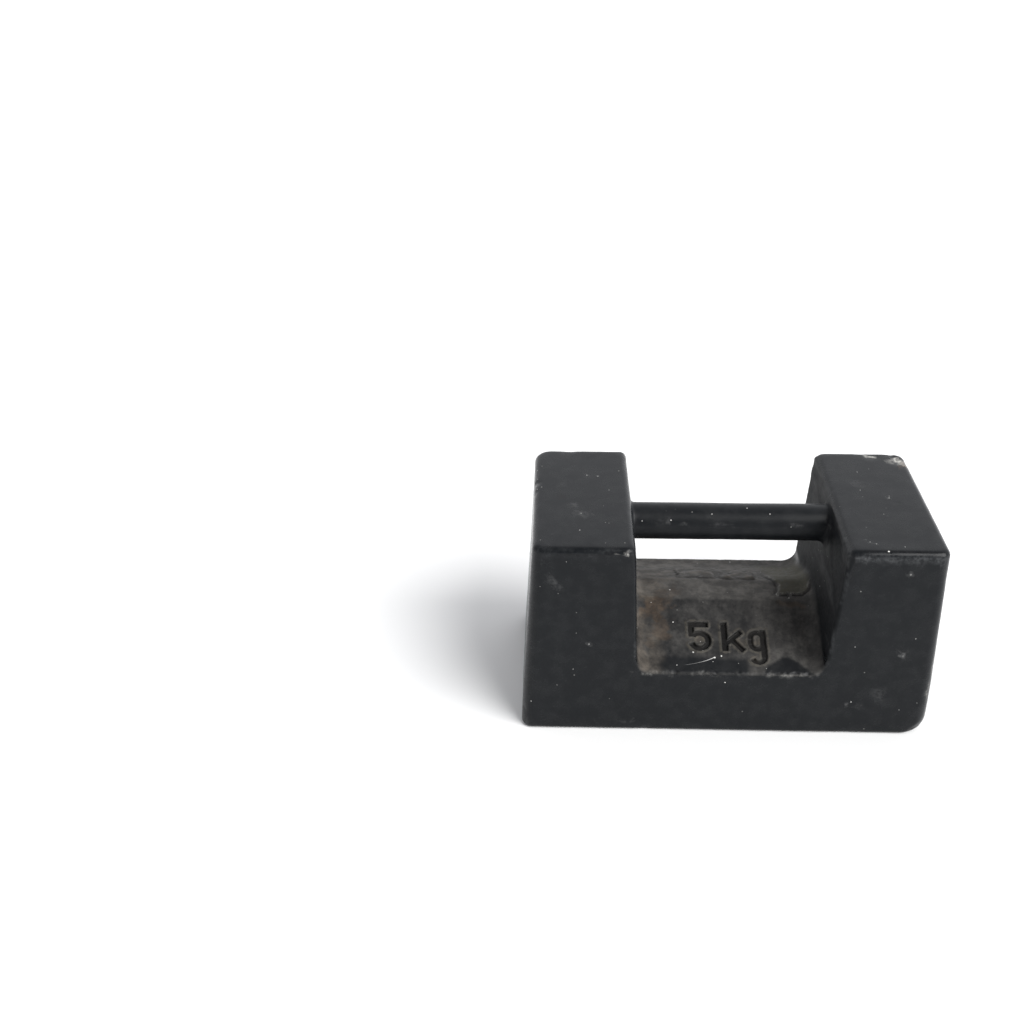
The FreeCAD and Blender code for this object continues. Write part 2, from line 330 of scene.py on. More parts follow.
# Flecks of white, each a small disc or dash. A fleck is stored as the offset
# from its middle, over its size, so its outline stays sharp between vertices.
FLECKS = [
    # x, y, z, radius, strength
    (9.1, 34.9, 30.0, .42, .8), (-20.0, -1.2, 40.6, .40, 1), (-19.7, -16.7, 36.3, .42, 1), (-19.2, -34.4, 29.3, .36, 1),
    (-7.0, -23.5, 33.5, .52, 1), (-12.2, -26.8, 32.2, .60, 1), (-12.7, -28.9, 31.3, .50, 1), (-7.7, -26.3, 32.3, .46, 1),
    (3.0, -22.9, 33.8, .42, 1), (11.3, -32.1, 30.0, .50, 1), (-1.0, -38.2, 24.3, .36, .9), (19.7, 21.0, 34.6, .36, .7),
    (26.5, -5.5, 40.6, .38, .8), (36.6, -9.1, 49.1, .42, .8), (-27.9, -8.6, 39.7, .30, .7), (-7.5, -8.1, 39.9, .26, .5),
    (-17.9, -11.6, 38.4, .26, .5), (-4.7, -30.9, 30.5, .66, 1), (-2.0, -30.2, 30.7, .56, 1), (-9.6, -24.6, 33.0, .30, .6), (-11.0, -27.9, 31.7, .40, .9), (-9.0, -28.2, 31.6, .34, .7),
    (-73.3, 20.0, 82.7, .34, .7), (-73.2, 13.0, 82.8, .30, .6), (-73.2, 5.5, 82.8, .34, .7),
    (-5.4, -32.6, 29.9, .30, .6), (4.2, -33.2, 29.6, .30, .6), (14.5, -35.4, 29.2, .30, .6),
    (-56.5, -12.3, 83.2, .34, .7), (-57.1, -24.1, 83.2, .36, .8), (-46.3, -19.0, 83.2, .30, .5), (-45.5, 4.7, 83.2, .30, .5),
    (-49.5, 15.4, 83.2, .40, .5), (-53.8, 16.1, 83.2, .46, .5), (-53.0, -37.9, 41.5, .36, .8), (-58.7, -38.1, 29.6, .30, .8),
    (-64.7, -38.2, 21.8, .30, .5), (-62.0, -37.2, 78.0, .30, .5), (-74.6, -38.2, 13.5, .40, .6),
    (52.5, 20.6, 83.2, .34, .8), (50.7, 6.7, 83.2, .34, .6), (60.4, 1.0, 83.2, .42, .6), (55.8, -10.6, 83.2, .30, .5),
    (46.5, -29.7, 83.2, .30, .7), (48.5, -31.0, 83.2, .30, .6), (51.9, -35.5, 83.0, .62, 1), (58.2, -32.7, 83.2, .34, .7),
    (67.0, -37.8, 46.1, .30, .6), (63.6, -37.9, 38.2, .26, .5), (45.4, -37.8, 42.0, .30, .7), (47.5, -38.3, 15.8, .40, .7),
    (66.2, -38.4, 12.3, .28, .5), (72.4, -38.3, 15.9, .30, .5), (54.3, -38.6, 2.5, .34, .7), (60.6, -37.3, 74.3, .40, .6),
    (6.9, -1.4, 79.5, .42, 1), (-14.1, -3.5, 78.7, .32, .7), (-6.6, -4.1, 78.3, .36, .8), (15.3, -3.9, 78.5, .34, .8),
    (-22.1, -5.9, 76.5, .40, .9), (-33.1, -6.1, 76.1, .34, .8), (23.2, -6.8, 74.6, .30, .5),
    (70.2, 33.0, 83.1, .44, .9), (64.2, 36.2, 82.9, .36, .8),
]

# a few more on the sides that face away
_rng = np.random.default_rng(41)
_more = []
for _ in range(14):
    _more.append((_rng.uniform(-70, 70), 37.9, _rng.uniform(5, 24)))
    _more.append((78.0, _rng.uniform(-32, 32), _rng.uniform(6, 76)))
    _more.append((-78.0, _rng.uniform(-32, 32), _rng.uniform(6, 76)))
for _ in range(7):
    _more.append((_rng.uniform(44, 72), 37.9, _rng.uniform(30, 78)))
    _more.append((-_rng.uniform(44, 72), 37.9, _rng.uniform(30, 78)))
for _p in _more:
    FLECKS.append((*_p, _rng.uniform(0.20, 0.40), _rng.uniform(0.35, 0.85)))

# --------------------------------------------------------------------------
# 4. Mesh
# --------------------------------------------------------------------------
def surface_nets(step):
    lo = np.array([-LB / 2 - 2, -DB / 2 - 2, -2.0]) + 0.013
    n = np.ceil((np.array([LB + 4, DB + 4, H + 4])) / step).astype(int) + 1
    ax = [lo[i] + step * np.arange(n[i]) for i in range(3)]
    F = np.empty(tuple(n), np.float32)
    Y, Z = np.meshgrid(ax[1], ax[2], indexing="ij")
    for s in range(0, n[0], 24):
        xs = ax[0][s:s + 24][:, None, None]
        F[s:s + 24] = shape(xs + 0 * Y[None], Y[None] + 0 * xs, Z[None] + 0 * xs)
    S = F < 0
    any_, all_ = np.zeros(tuple(n - 1), bool), np.ones(tuple(n - 1), bool)
    for i in (0, 1):
        for j in (0, 1):
            for k in (0, 1):
                c = S[i:n[0] - 1 + i, j:n[1] - 1 + j, k:n[2] - 1 + k]
                any_ |= c
                all_ &= c
    cells = np.argwhere(any_ & ~all_)
    idx = np.full(tuple(n - 1), -1, np.int32)
    idx[tuple(cells.T)] = np.arange(len(cells))
    pos, cnt = np.zeros((len(cells), 3)), np.zeros(len(cells))
    ci, cj, ck = cells.T
    corners = [(i, j, k) for i in (0, 1) for j in (0, 1) for k in (0, 1)]
    for a in corners:
        for axis in range(3):
            if a[axis]:
                continue
            b = list(a)
            b[axis] = 1
            fa = F[ci + a[0], cj + a[1], ck + a[2]].astype(float)
            fb = F[ci + b[0], cj + b[1], ck + b[2]].astype(float)
            hit = (fa < 0) != (fb < 0)
            t = np.where(hit, fa / np.where(hit, fa - fb, 1), 0)
            p = np.array(a, float)[None] + t[:, None] * (np.array(b) - np.array(a))[None]
            pos[hit] += p[hit]
            cnt += hit
    pos = lo + step * (cells + pos / cnt[:, None])
    quads = []
    for axis in range(3):
        sl0 = [slice(1, -1)] * 3
        sl1 = [slice(1, -1)] * 3
        sl0[axis], sl1[axis] = slice(0, -1), slice(1, None)
        A, B = S[tuple(sl0)], S[tuple(sl1)]
        for flip, hit in ((False, A & ~B), (True, ~A & B)):
            e = np.argwhere(hit) + 1
            e[:, axis] -= 1
            o = [i for i in range(3) if i != axis]
            def cell(d0, d1):
                c = e.copy()
                c[:, o[0]] -= d0
                c[:, o[1]] -= d1
                return idx[tuple(c.T)]
            q = np.column_stack([cell(1, 1), cell(0, 1), cell(0, 0), cell(1, 0)])
            if flip != (axis == 1):
                q = q[:, ::-1]
            quads.append(q)
    return pos, np.vstack(quads)


def settle(P, rounds=3):
    """Pulls points onto the plain casting's surface."""
    for _ in range(rounds):
        x, y, z = P.T
        f = shape(x, y, z)
        gx, gy, gz, g = gradient(x, y, z)
        s = np.clip(f / np.maximum(g, 0.3), -0.5, 0.5)
        P = P - np.column_stack([gx, gy, gz]) * s[:, None]
    x, y, z = P.T
    gx, gy, gz, _ = gradient(x, y, z)
    return P, np.column_stack([gx, gy, gz])


def mesh_from(name, P, faces):
    me = bpy.data.meshes.new(name)
    me.vertices.add(len(P))
    me.vertices.foreach_set("co", np.ascontiguousarray(P, dtype=np.float32).ravel())
    k = faces.shape[1]
    me.loops.add(faces.size)
    me.loops.foreach_set("vertex_index", np.ascontiguousarray(faces, dtype=np.int32).ravel())
    me.polygons.add(len(faces))
    me.polygons.foreach_set("loop_start", np.arange(0, faces.size, k, dtype=np.int32))
    me.polygons.foreach_set("loop_total", np.full(len(faces), k, dtype=np.int32))
    me.update(calc_edges=True)
    return me


def coords(me):
    a = np.empty(len(me.vertices) * 3, np.float32)
    me.vertices.foreach_get("co", a)
    return a.reshape(-1, 3).astype(float)


def build_casting():
    global FLECKS
    fp, _ = settle(np.array([f[:3] for f in FLECKS]), 8)
    FLECKS = [(*p, f[3], f[4]) for p, f in zip(fp, FLECKS)]
    step = 0.45
    P, Q = surface_nets(step)
    me = mesh_from("casting", P, Q)
    # finer mesh under the figures
    bm = bmesh.new()
    bm.from_mesh(me)
    for _ in range(1):
        pick = set()
        for f in bm.faces:
            c = f.calc_center_median()
            if -17.5 < c.x < 18.0 and -33.5 < c.y < -13.5 and c.z < 42 and c.z > 28:
                pick.update(f.edges)
        bmesh.ops.subdivide_edges(bm, edges=list(pick), cuts=1, use_grid_fill=True)
    bmesh.ops.triangulate(bm, faces=[f for f in bm.faces if len(f.verts) > 4])
    bm.to_mesh(me)
    bm.free()
    P, N = settle(coords(me))
    h = relief(P[:, 0], P[:, 1], P[:, 2], N[:, 0], N[:, 1], N[:, 2])
    # the foot stays flat and on the ground
    foot = sstep(P[:, 2], 0.0, 1.2)
    h = np.where(N[:, 2] < -0.5, h * foot, h)
    P2 = P + N * h[:, None]
    P2[:, 2] = np.maximum(P2[:, 2], 0.0)
    me.vertices.foreach_set("co", P2.astype(np.float32).ravel())
    me.update()
    ob = bpy.data.objects.new("bar_weight_casting", me)
    bpy.context.scene.collection.objects.link(ob)
    # keep the ridge and the rough wall dense, thin out the rest
    keep = ob.vertex_groups.new(name="keep")
    x, y, z = P.T
    w = np.maximum(on_ridge(x, y, z) * (z > 25), 0.6 * sstep(x, 30, 33) * (np.abs(x) < 40) * sstep(z, 45, 55))
    w = np.maximum(w, ((x > -18) & (x < 18.5) & (y < -13) & (y > -34) & (z > 28) & (z < 42)) * 1.0)
    for f in FLECKS:
        w[((P - np.array(f[:3])) ** 2).sum(1) < 2.0 ** 2] = 1.0
    for level in (0.25, 0.5, 0.75, 1.0):
        ids = np.nonzero((w > level - 0.25) & (w <= level))[0]
        if len(ids):
            keep.add([int(i) for i in ids], level, "REPLACE")
    tris = sum(len(p.vertices) - 2 for p in me.polygons)
    target = 192000
    dec = ob.modifiers.new("thin", "DECIMATE")
    dec.decimate_type = "COLLAPSE"
    dec.ratio = min(1.0, target / tris)
    dec.vertex_group = "keep"
    dec.invert_vertex_group = True
    dec.vertex_group_factor = 1.2
    dec.use_collapse_triangulate = True
    dg = bpy.context.evaluated_depsgraph_get()
    out = bpy.data.meshes.new_from_object(ob.evaluated_get(dg))
    ob.modifiers.clear()
    ob.vertex_groups.clear()
    ob.data = out
    out.name = "bar_weight_casting"
    print("casting: %d quads made, %d triangles kept" % (len(Q), sum(len(p.vertices) - 2 for p in out.polygons)))
    return ob


casting = build_casting()

# --------------------------------------------------------------------------
# 5. Fields on the surface: dust, rust, wear, flecks, and painted highlights and shade
# --------------------------------------------------------------------------
PV = coords(casting.data)
PN, GN = settle(PV, 2)
X, Y, Z = PN.T
NX, NY, NZ = GN.T
OUT = ((PV - PN) * GN).sum(1)          # how far the real surface stands out
e = 0.7
CURVE = (shape(X + e, Y, Z) + shape(X - e, Y, Z) + shape(X, Y + e, Z) + shape(X, Y - e, Z)
         + shape(X, Y, Z + e) + shape(X, Y, Z - e) - 6 * shape(X, Y, Z)) / e ** 2
RIDGE = on_ridge(X, Y, Z) * sstep(NZ, 0.2, 0.5)
BARNESS = sstep(np.sqrt(Y ** 2 + (Z - BARZ) ** 2), 9.5, 7.6) * (np.abs(X) < 39)
TOPS = sstep(NZ, 0.6, 0.95) * sstep(Z, 79, 82) * (1 - BARNESS)


def blob(cx, cy, cz, r, wob=0.35, seed=101):
    d = np.sqrt((X - cx) ** 2 + (Y - cy) ** 2 + (Z - cz) ** 2) / r
    return sstep(d + wob * noise(X, Y, Z, r * 0.5, seed) + wob * 0.5 * noise(X, Y, Z, r * 0.22, seed + 1), 1.0, 0.55)


def streak(a, b, w, soft=0.5, wob=0.3, seed=131):
    """A soft band between two points, w mm to each side."""
    a, b = np.array(a, float), np.array(b, float)
    d = b - a
    q = np.column_stack([X, Y, Z]) - a
    t = np.clip(q @ d / (d @ d), 0, 1)
    r = np.linalg.norm(q - t[:, None] * d, axis=1) / w
    return sstep(r + wob * noise(X, Y, Z, w * 1.1, seed), 1.0, 1.0 - soft)


def field(name, values):
    a = casting.data.attributes.new(name, "FLOAT", "POINT")
    a.data.foreach_set("value", np.clip(values, 0, 1).astype(np.float32))


n_big, n_mid, n_small = fbm(X, Y, Z, 26, 201, 3), fbm(X, Y, Z, 9, 211, 3), fbm(X, Y, Z, 3.2, 221, 3)

# pale grey dust: thick on the crest and the back slope, thinner on the front slope; the crest and back slope are paler
# partly as painted light on their upward faces
crest = sstep(Y + 0.5 * n_mid + 0.3 * n_small, -7.7, -5.6)
runs = fbm(X, Y * 0.28, Z * 0.28, 3.0, 235, 3)      # runs down the slope
front = RIDGE * (1 - crest)
band_y = -30.4 + 1.3 * noise(X, Y, Z, 8, 231) + 0.6 * n_small
band = front * sstep(Y, band_y + 1.0, band_y - 1.2) * sstep(Y, -38.2, -37.2)
gap_in_band = sstep(X, 5.5, 8.5) * sstep(X, 14.0, 11.0)
sliver = sstep(np.abs((X - 22.3) - (Y + 28.7) * (-1.25)), 3.2, 1.6) * sstep(X, 20, 24)
band = band * sstep(X, -27.5, -24.5) * sstep(X, 9.5, 6.5)
wedge = poly(X, Y, [(12.5, -38.5), (15.5, -34.2), (21.0, -30.4), (24.0, -30.2), (33.0, -38.5)]) + 0.5 * n_small
band = np.maximum(band, front * sstep(wedge, 0.7, -0.7) * sstep(Y, -38.2, -37.4))
sliver = front * sstep(poly(X, Y, [(22.0, -27.5), (25.5, -27.8), (36.0, -37.5), (32.5, -37.8)]) + 0.4 * n_small, 0.8, -0.8)
dust_and_crest_light = RIDGE * (0.86 * crest + (1 - crest) * (0.34 + 0.12 * n_mid + 0.20 * runs + 0.24 * sstep(X, 6, 18))) + 0.08 * n_small * RIDGE
dust_and_crest_light = dust_and_crest_light * (1 - 0.92 * band)
dust_and_crest_light = np.maximum(dust_and_crest_light, 0.62 * sliver)
# tan and rust down the left side of the ridge
tan = np.maximum.reduce([
    0.80 * streak((-33.0, -15, 37.4), (-32.0, -37.0, 29.6), 5.0, 0.8, 0.45, 241),
    0.55 * streak((-28.0, -22, 34.6), (-27.0, -36.5, 29.2), 4.6, 0.9, 0.5, 243),
    0.50 * blob(-30.0, -2.0, 40.6, 10.0, 0.4, 245), 0.40 * blob(-27.0, 14.0, 37.0, 13.0, 0.4, 247) * crest])
tan = tan * RIDGE * (0.80 + 0.45 * runs)
rust = np.maximum.reduce([
    0.75 * blob(-26.0, -11.0, 38.5, 6.4, 0.45, 251), 0.55 * blob(-24.5, -19.5, 35.6, 5.2, 0.5, 253),
    0.40 * blob(-22.0, -3.0, 40.6, 6.0, 0.5, 255), 0.35 * blob(-29.0, -26.0, 33.0, 2.6, 0.5, 257),
    0.45 * streak((23.0, -8.0, 40.0), (31.0, -9.0, 39.8), 2.2, 0.8, 0.5, 259)]) * RIDGE
# olive tint on the overrun skin
olive = RIDGE * sstep(skin_edge(X, Y, Z), 0.2, -0.6 - 5.0 * sstep(Y, 6, 16)) * (X > 16)
# warm dust left in the figures; painted shade dark in their cut, and a painted highlight along their rim
U, V = slope_uv(X, Y, Z)
near = (np.abs(U) < 24) & (V > -9) & (V < 19) & (Y < -8) & (NZ > 0.5) & (Z < 46)
fig_d = np.where(near, figures(U, V), 9.0)
fig_cut_shade = sstep(fig_d, 0.25, -0.3)
fig_rim_highlight = np.exp(-((fig_d - 0.75) / 0.5) ** 2) * near
tan = np.maximum.reduce([tan, 0.60 * blob(-9.9, -23.6, 33.4, 2.1, 0.4, 401), 0.38 * blob(5.6, -24.6, 33.1, 2.4, 0.4, 403),
                         0.45 * blob(11.7, -24.6, 33.1, 1.7, 0.3, 405), 0.30 * blob(10.5, -31.5, 30.2, 1.6, 0.4, 407)])
# the torn edge of the skin: a painted highlight as a pale rim, and painted shade as a dark crease in front of it
lipd = skin_edge(X, Y, Z)
skin_on = RIDGE * sstep(X, 14.5, 17.5) * sstep(Y, 16, 10)
rim_highlight = skin_on * np.exp(-((lipd + 0.30) / 0.42) ** 2) * sstep(n_small, -0.35, 0.2)
crease_shade = skin_on * np.exp(-((lipd - 0.65) / 0.45) ** 2)
# painted shade in the worn pad's hollows and as a dark line along its outline; its lump tops are tan, partly pinkish
# colour and partly painted highlight
padd = pad_edge(X, Y, Z)
pad_on = RIDGE * (Y > 0) * sstep(padd, 0.4, -0.4)
lumps = pad_lumps(X, Y, Z)
hollow_shade = np.maximum(pad_on * sstep(lumps, 0.0, -0.35), RIDGE * (Y > 0) * 0.7 * np.exp(-((padd - 0.3) / 0.45) ** 2) * (Y < 20))
tan = np.maximum(tan, pad_on * 0.42 * sstep(lumps, 0.05, 0.4))

# bare and chalky wear along edges; along the front top edges a band that is partly wear, partly a painted highlight on
# the rounding
convex = sstep(CURVE, 0.16, 0.42)
worn = convex * sstep(fbm(X, Y, Z, 5.0, 261, 3) + 0.12, 0.1, 0.6)
front_top = np.exp(-((Z - 80.9) / 1.1) ** 2) * np.exp(-((Y + 37.0) / 1.5) ** 2)
brush_wear_and_highlight = front_top * (0.35 + 0.4 * sstep(noise(X * 3, Y, Z, 6, 271), -0.3, 0.6))
brush_wear_and_highlight = brush_wear_and_highlight * (1.0 * (X > 40) + 0.20 * (X < -36))
chips_and_highlights = np.maximum.reduce([
    0.45 * blob(-43.7, -37.0, 81.4, 0.7, 0.5, 281), 0.75 * blob(-40.6, -36.9, 81.7, 1.0, 0.5, 283),
    1.00 * streak((57.9, 34.0, 83.2), (62.4, 32.3, 83.2), 0.85, 0.6, 0.4, 285),
    0.42 * streak((62.8, 32.1, 83.2), (68.0, 28.1, 83.2), 0.60, 0.7, 0.5, 287),
    1.00 * blob(71.2, 30.0, 83.0, 2.9, 0.50, 289), 0.5 * streak((66.5, 30.5, 83.1), (70.0, 30.2, 83.1), 0.9, 0.7, 0.6, 291),
    0.45 * streak((75.9, -36.6, 36.0), (75.9, -36.9, 31.5), 0.7, 0.7, 0.5, 293),
    0.40 * streak((76.0, -37.0, 23.0), (76.1, -37.1, 18.0), 0.6, 0.7, 0.5, 295),
    0.35 * streak((77.2, -36.6, 9.0), (77.3, -36.6, 6.0), 0.6, 0.7, 0.5, 297)])
# pale specks along the front lip, partly a painted highlight on its edge
lip_specks_and_highlight = np.exp(-((Z - (LIPF - 0.8)) / 0.9) ** 2) * np.exp(-((Y + 37.9) / 1.3) ** 2) * (np.abs(X) < 37)
# a painted highlight along the skin's torn rim
chips_and_highlights = np.maximum(chips_and_highlights, 0.9 * rim_highlight * 0.35)
chips_and_highlights = np.maximum.reduce([chips_and_highlights, 0.42 * blob(22.6, -3.2, 40.6, 1.3, 0.4, 411), 0.42 * blob(27.0, -3.2, 40.6, 1.2, 0.4, 413)])
chips_and_highlights = np.maximum(chips_and_highlights, 0.24 * lip_specks_and_highlight * sstep(fbm(X, Y, Z, 2.4, 301, 3), 0.0, 0.5))
orange = blob(72.9, 27.6, 83.0, 2.0, 0.5, 311) * 0.8

# rubbed, dusty places on the uprights; paler where the rough right wall's lumps stand out
scuff = np.maximum.reduce([
    0.75 * blob(-59.8, -7.4, 83.2, 2.6, 0.4, 321), 0.35 * blob(-56.0, -12.5, 83.2, 3.4, 0.5, 323),
    0.55 * streak((-68.5, -25.6, 83.2), (-64.5, -26.2, 83.2), 0.9, 0.8, 0.5, 325),
    0.40 * streak((-63.5, 8.2, 83.2), (-60.5, 7.6, 83.2), 0.8, 0.8, 0.5, 327), 0.35 * blob(-53.8, 16.0, 83.2, 1.3, 0.5, 329),
    0.35 * blob(-49.5, 15.4, 83.2, 1.0, 0.5, 331),
    0.50 * streak((-66.8, -37.5, 70.5), (-63.4, -37.6, 65.5), 1.1, 0.8, 0.6, 333),
    0.45 * blob(-53.0, -37.9, 41.5, 1.2, 0.5, 335), 0.35 * streak((-51, -38.5, 5.0), (-35, -38.5, 3.6), 0.8, 0.8, 0.7, 337),
    0.55 * blob(60.6, -37.4, 74.3, 1.5, 0.5, 341), 0.95 * blob(48.0, -38.3, 17.2, 4.4, 0.5, 343) * sstep(n_small, -0.1, 0.3), 0.85 * blob(63.6, -37.9, 38.0, 1.9, 0.5, 342), 0.35 * blob(58, -38.3, 18.0, 4.0, 0.5, 344),
    0.50 * blob(60.4, 1.0, 83.2, 1.3, 0.5, 345), 0.5 * streak((46.2, -30.2, 83.2), (49.0, -31.2, 83.2), 0.6, 0.8, 0.5, 347),
    0.35 * blob(50, 12, 83.2, 3.0, 0.6, 349), 0.35 * streak((36.2, -28.0, 41.0), (36.3, -35.5, 41.2), 0.9, 0.9, 0.5, 351)])
wall_r = sstep(X, 30, 33) * (X < 41) * sstep(Z, 50, 58) * sstep(-NX, 0.5, 0.9)
scuff = np.maximum(scuff, wall_r * (0.02 + 0.36 * sstep(fbm(X, Y * 0.26, Z * 0.8, 4.6, 23, 2, 0.4), 0.05, 0.5)))
scuff = np.maximum(scuff, BARNESS * 0.5 * np.exp(-((Z - 75.6) / 1.3) ** 2) * (Y < 0) * sstep(fbm(X * 1.6, Y, Z, 2.6, 361, 3), 0.05, 0.5))
scuff = scuff * (0.75 + 0.5 * n_small)
# painted shade as dark lines on the roundings of the top front edges, the left top's left edge and the right upright's
# front edge by the gap, with the skin's crease and the pad's hollows; the two spots on the left top are dark marks
dark_marks_and_shade = np.maximum.reduce([
    0.55 * streak((-71, -35.1, 83.1), (-42.0, -34.9, 83.2), 0.50, 0.8, 0.4, 376), 0.45 * streak((-56, -35.0, 83.1), (-42.0, -34.9, 83.2), 0.7, 0.8, 0.4, 377),
    0.75 * streak((-64, -37.1, 80.8), (-44.5, -37.1, 81.2), 0.42, 0.8, 0.5, 378), 0.8 * blob(-48.6, -37.0, 81.1, 0.9, 0.5, 379),
    0.8 * blob(-46.4, -37.0, 81.1, 0.8, 0.5, 380), 0.80 * streak((41.0, -35.5, 83.1), (74.5, -35.6, 82.9), 0.55, 0.8, 0.35, 381),
    0.75 * crease_shade, 0.62 * hollow_shade, 0.6 * streak((40.4, -36.9, 82.0), (40.0, -37.2, 70.0), 0.9, 0.8, 0.4, 382),
    0.8 * blob(-63.6, -0.1, 83.2, 2.0, 0.5, 371), 0.5 * blob(-46, -19, 83.2, 2.4, 0.5, 373),
                          0.6 * streak((-73.2, 23, 82.8), (-73.0, -3, 83.0), 0.6, 0.8, 0.5, 375)])

field("of_dust_and_crest_light", dust_and_crest_light)
field("of_tan_and_highlight", tan)
field("of_rust", rust)
field("of_olive", olive)
field("of_band", band)
corner = sstep(np.abs(NX), 0.25, 0.5) * sstep(np.abs(NY), 0.25, 0.5)
field("of_worn_and_highlight", np.maximum(worn * (1 - RIDGE) * (0.12 + 0.28 * corner), brush_wear_and_highlight))
field("of_chip_and_highlight", chips_and_highlights)
field("of_orange", orange)
field("of_scuff", scuff)
field("of_dark_marks_and_shade", dark_marks_and_shade)
field("of_fig", fig_cut_shade)
field("of_figrim", fig_rim_highlight)
field("of_bar", BARNESS)
field("of_matte", sstep(X, 24, 28) * (X < 41) * sstep(Z, 34, 38) * sstep(-NX, 0.05, 0.30) * (1 - sstep(Z, 80, 83)))

layers = [[], [], [], []]
for f in sorted(FLECKS, key=lambda q: -q[3]):
    c = np.array(f[:3])
    for layer in layers:
        if all(np.linalg.norm(c - np.array(g[:3])) > 3.5 for g in layer):
            layer.append(f)
            break
for k, layer in enumerate(layers):
    off, power = np.full((len(PV), 3), 50.0), np.zeros(len(PV))
    best = np.full(len(PV), 1e9)
    for f in layer:
        d = PV - np.array(f[:3])
        r = np.linalg.norm(d, axis=1)
        m = (r < best) & (r < 1.65)
        best[m] = r[m]
        off[m] = d[m] / (f[3] * 0.64)
        power[m] = f[4]
    a = casting.data.attributes.new("of_fleck%d" % k, "FLOAT_VECTOR", "POINT")
    a.data.foreach_set("vector", off.astype(np.float32).ravel())
    field("of_power%d" % k, power)
# the scratch on the front slope: its distance, over its width, across the line
on = RIDGE * (Y < -26)
line = -33.0 + 0.292 * (X + 10.5) + 0.0135 * (X + 10.5) ** 2
width = 0.09 + 0.13 * sstep(X, -12, -5)
across = (PV[:, 1] - line) / math.cos(SL) * 0.95 / width
across = np.where((on > 0.5) & (X > -19) & (X < -2), across, 60.0)
a = casting.data.attributes.new("of_dash", "FLOAT_VECTOR", "POINT")
a.data.foreach_set("vector", np.column_stack([across, 0 * X, 0 * X]).astype(np.float32).ravel())
field("of_dashpower", (0.30 + 0.35 * sstep(X, -12.5, -7)) * sstep(X, -17.0, -14.5) * sstep(X, -4.2, -4.9))

# --------------------------------------------------------------------------
# 6. A flat map of the surface, cut along the casting's own sides
# --------------------------------------------------------------------------
def lay_out(ob):
    me = ob.data
    m = len(me.polygons)
    vi = np.empty(m * 3, np.int32)
    me.polygons.foreach_get("vertices", vi)
    vi = vi.reshape(-1, 3)
    C = PN[vi].mean(1)
    N = GN[vi].mean(1)
    x, y, z = C.T
    nx, ny, nz = N.T
    r = np.sqrt(y ** 2 + (z - BARZ) ** 2)
    bar = (np.abs(x) < 37) & (r < 8.4)
    gap = (np.abs(x + 0.0) < 40) & (z > 29) & (np.abs(y) < 37.0) & ~bar
    tile = np.zeros(m, np.int32)
    ax = np.argmax(np.abs(N) * [1.0, 1.0, 1.0], axis=1)
    tile[(ax == 2) & (nz > 0)] = 0          # top
    tile[(ax == 2) & (nz <= 0)] = 1         # foot
    tile[(ax == 1) & (ny < 0)] = 2          # front
    tile[(ax == 1) & (ny >= 0)] = 3         # back
    tile[(ax == 0) & (nx < 0)] = 4          # left end
    tile[(ax == 0) & (nx >= 0)] = 5         # right end
    inner = (np.abs(x) < 41) & (z > 27) & (ax == 0)
    tile[inner & (nx > 0) & (x < 0)] = 6    # left wall of the gap
    tile[inner & (nx < 0) & (x > 0)] = 7    # right wall of the gap
    tile[bar] = 8
    W, D, T = 160.0, 80.0, 86.0
    pad = 1.5
    # tile origins in mm on a square sheet
    org = {2: (0, 0), 3: (W + pad, 0), 0: (0, T + pad), 1: (W + pad, T + pad),
           4: (0, T + D + 2 * pad), 5: (D + pad, T + D + 2 * pad), 6: (2 * D + 2 * pad, T + D + 2 * pad),
           7: (2 * D + 2 * pad, T + D + 2 * pad + 62), 8: (0, 2 * T + D + 3 * pad)}
    sheet = 2 * W + pad + 1
    uv = np.zeros((m, 3, 2))
    P = PN[vi]
    px, py, pz = P[..., 0], P[..., 1], P[..., 2]
    flat = {0: (px + W / 2, py + D / 2), 1: (W / 2 - px, py + D / 2), 2: (px + W / 2, pz + 1), 3: (W / 2 - px, pz + 1),
            4: (D / 2 - py, pz + 1), 5: (py + D / 2, pz + 1), 6: (py + D / 2, pz - 26), 7: (D / 2 - py, pz - 26)}
    for k, (a, b) in flat.items():
        s = tile == k
        uv[s, :, 0] = a[s] + org[k][0] + 0.5
        uv[s, :, 1] = b[s] + org[k][1] + 0.5
    # the bar, unrolled from the seam underneath
    s = tile == 8
    ang = np.arctan2(py, pz - BARZ)
    cen = np.arctan2(C[:, 1], C[:, 2] - BARZ)
    ang = np.where(ang - cen[:, None] > math.pi, ang - 2 * math.pi, ang)
    ang = np.where(ang - cen[:, None] < -math.pi, ang + 2 * math.pi, ang)
    uv[s, :, 0] = (px[s] + 39) + org[8][0] + 0.5
    uv[s, :, 1] = (ang[s] + math.pi) * BARR + 1.0 + org[8][1] + 0.5
    layer = me.uv_layers.new(name="OFBake")
    layer.data.foreach_set("uv", (uv / sheet).astype(np.float32).ravel())
    print("map: %.1f of %.1f used" % (uv[..., 1].max(), sheet))


lay_out(casting)
casting.data.shade_smooth()
me = casting.data
me.vertices.foreach_set("co", (PV / 1000).astype(np.float32).ravel())
me.update()

# --------------------------------------------------------------------------
# 7. Material
# --------------------------------------------------------------------------
mat = bpy.data.materials.new("black_paint")
mat.use_nodes = True
nt = mat.node_tree
nt.nodes.clear()
out = nt.nodes.new("ShaderNodeOutputMaterial")
bsdf = nt.nodes.new("ShaderNodeBsdfPrincipled")
nt.links.new(bsdf.outputs[0], out.inputs[0])
bsdf.inputs["Specular IOR Level"].default_value = 0.17
bsdf.inputs["Metallic"].default_value = 0.0


def node(kind, **kw):
    n = nt.nodes.new(kind)
    for k, v in kw.items():
        setattr(n, k, v)
    return n


def plug(sock, value):
    if hasattr(value, "is_output"):
        nt.links.new(value, sock)
    else:
        sock.default_value = value


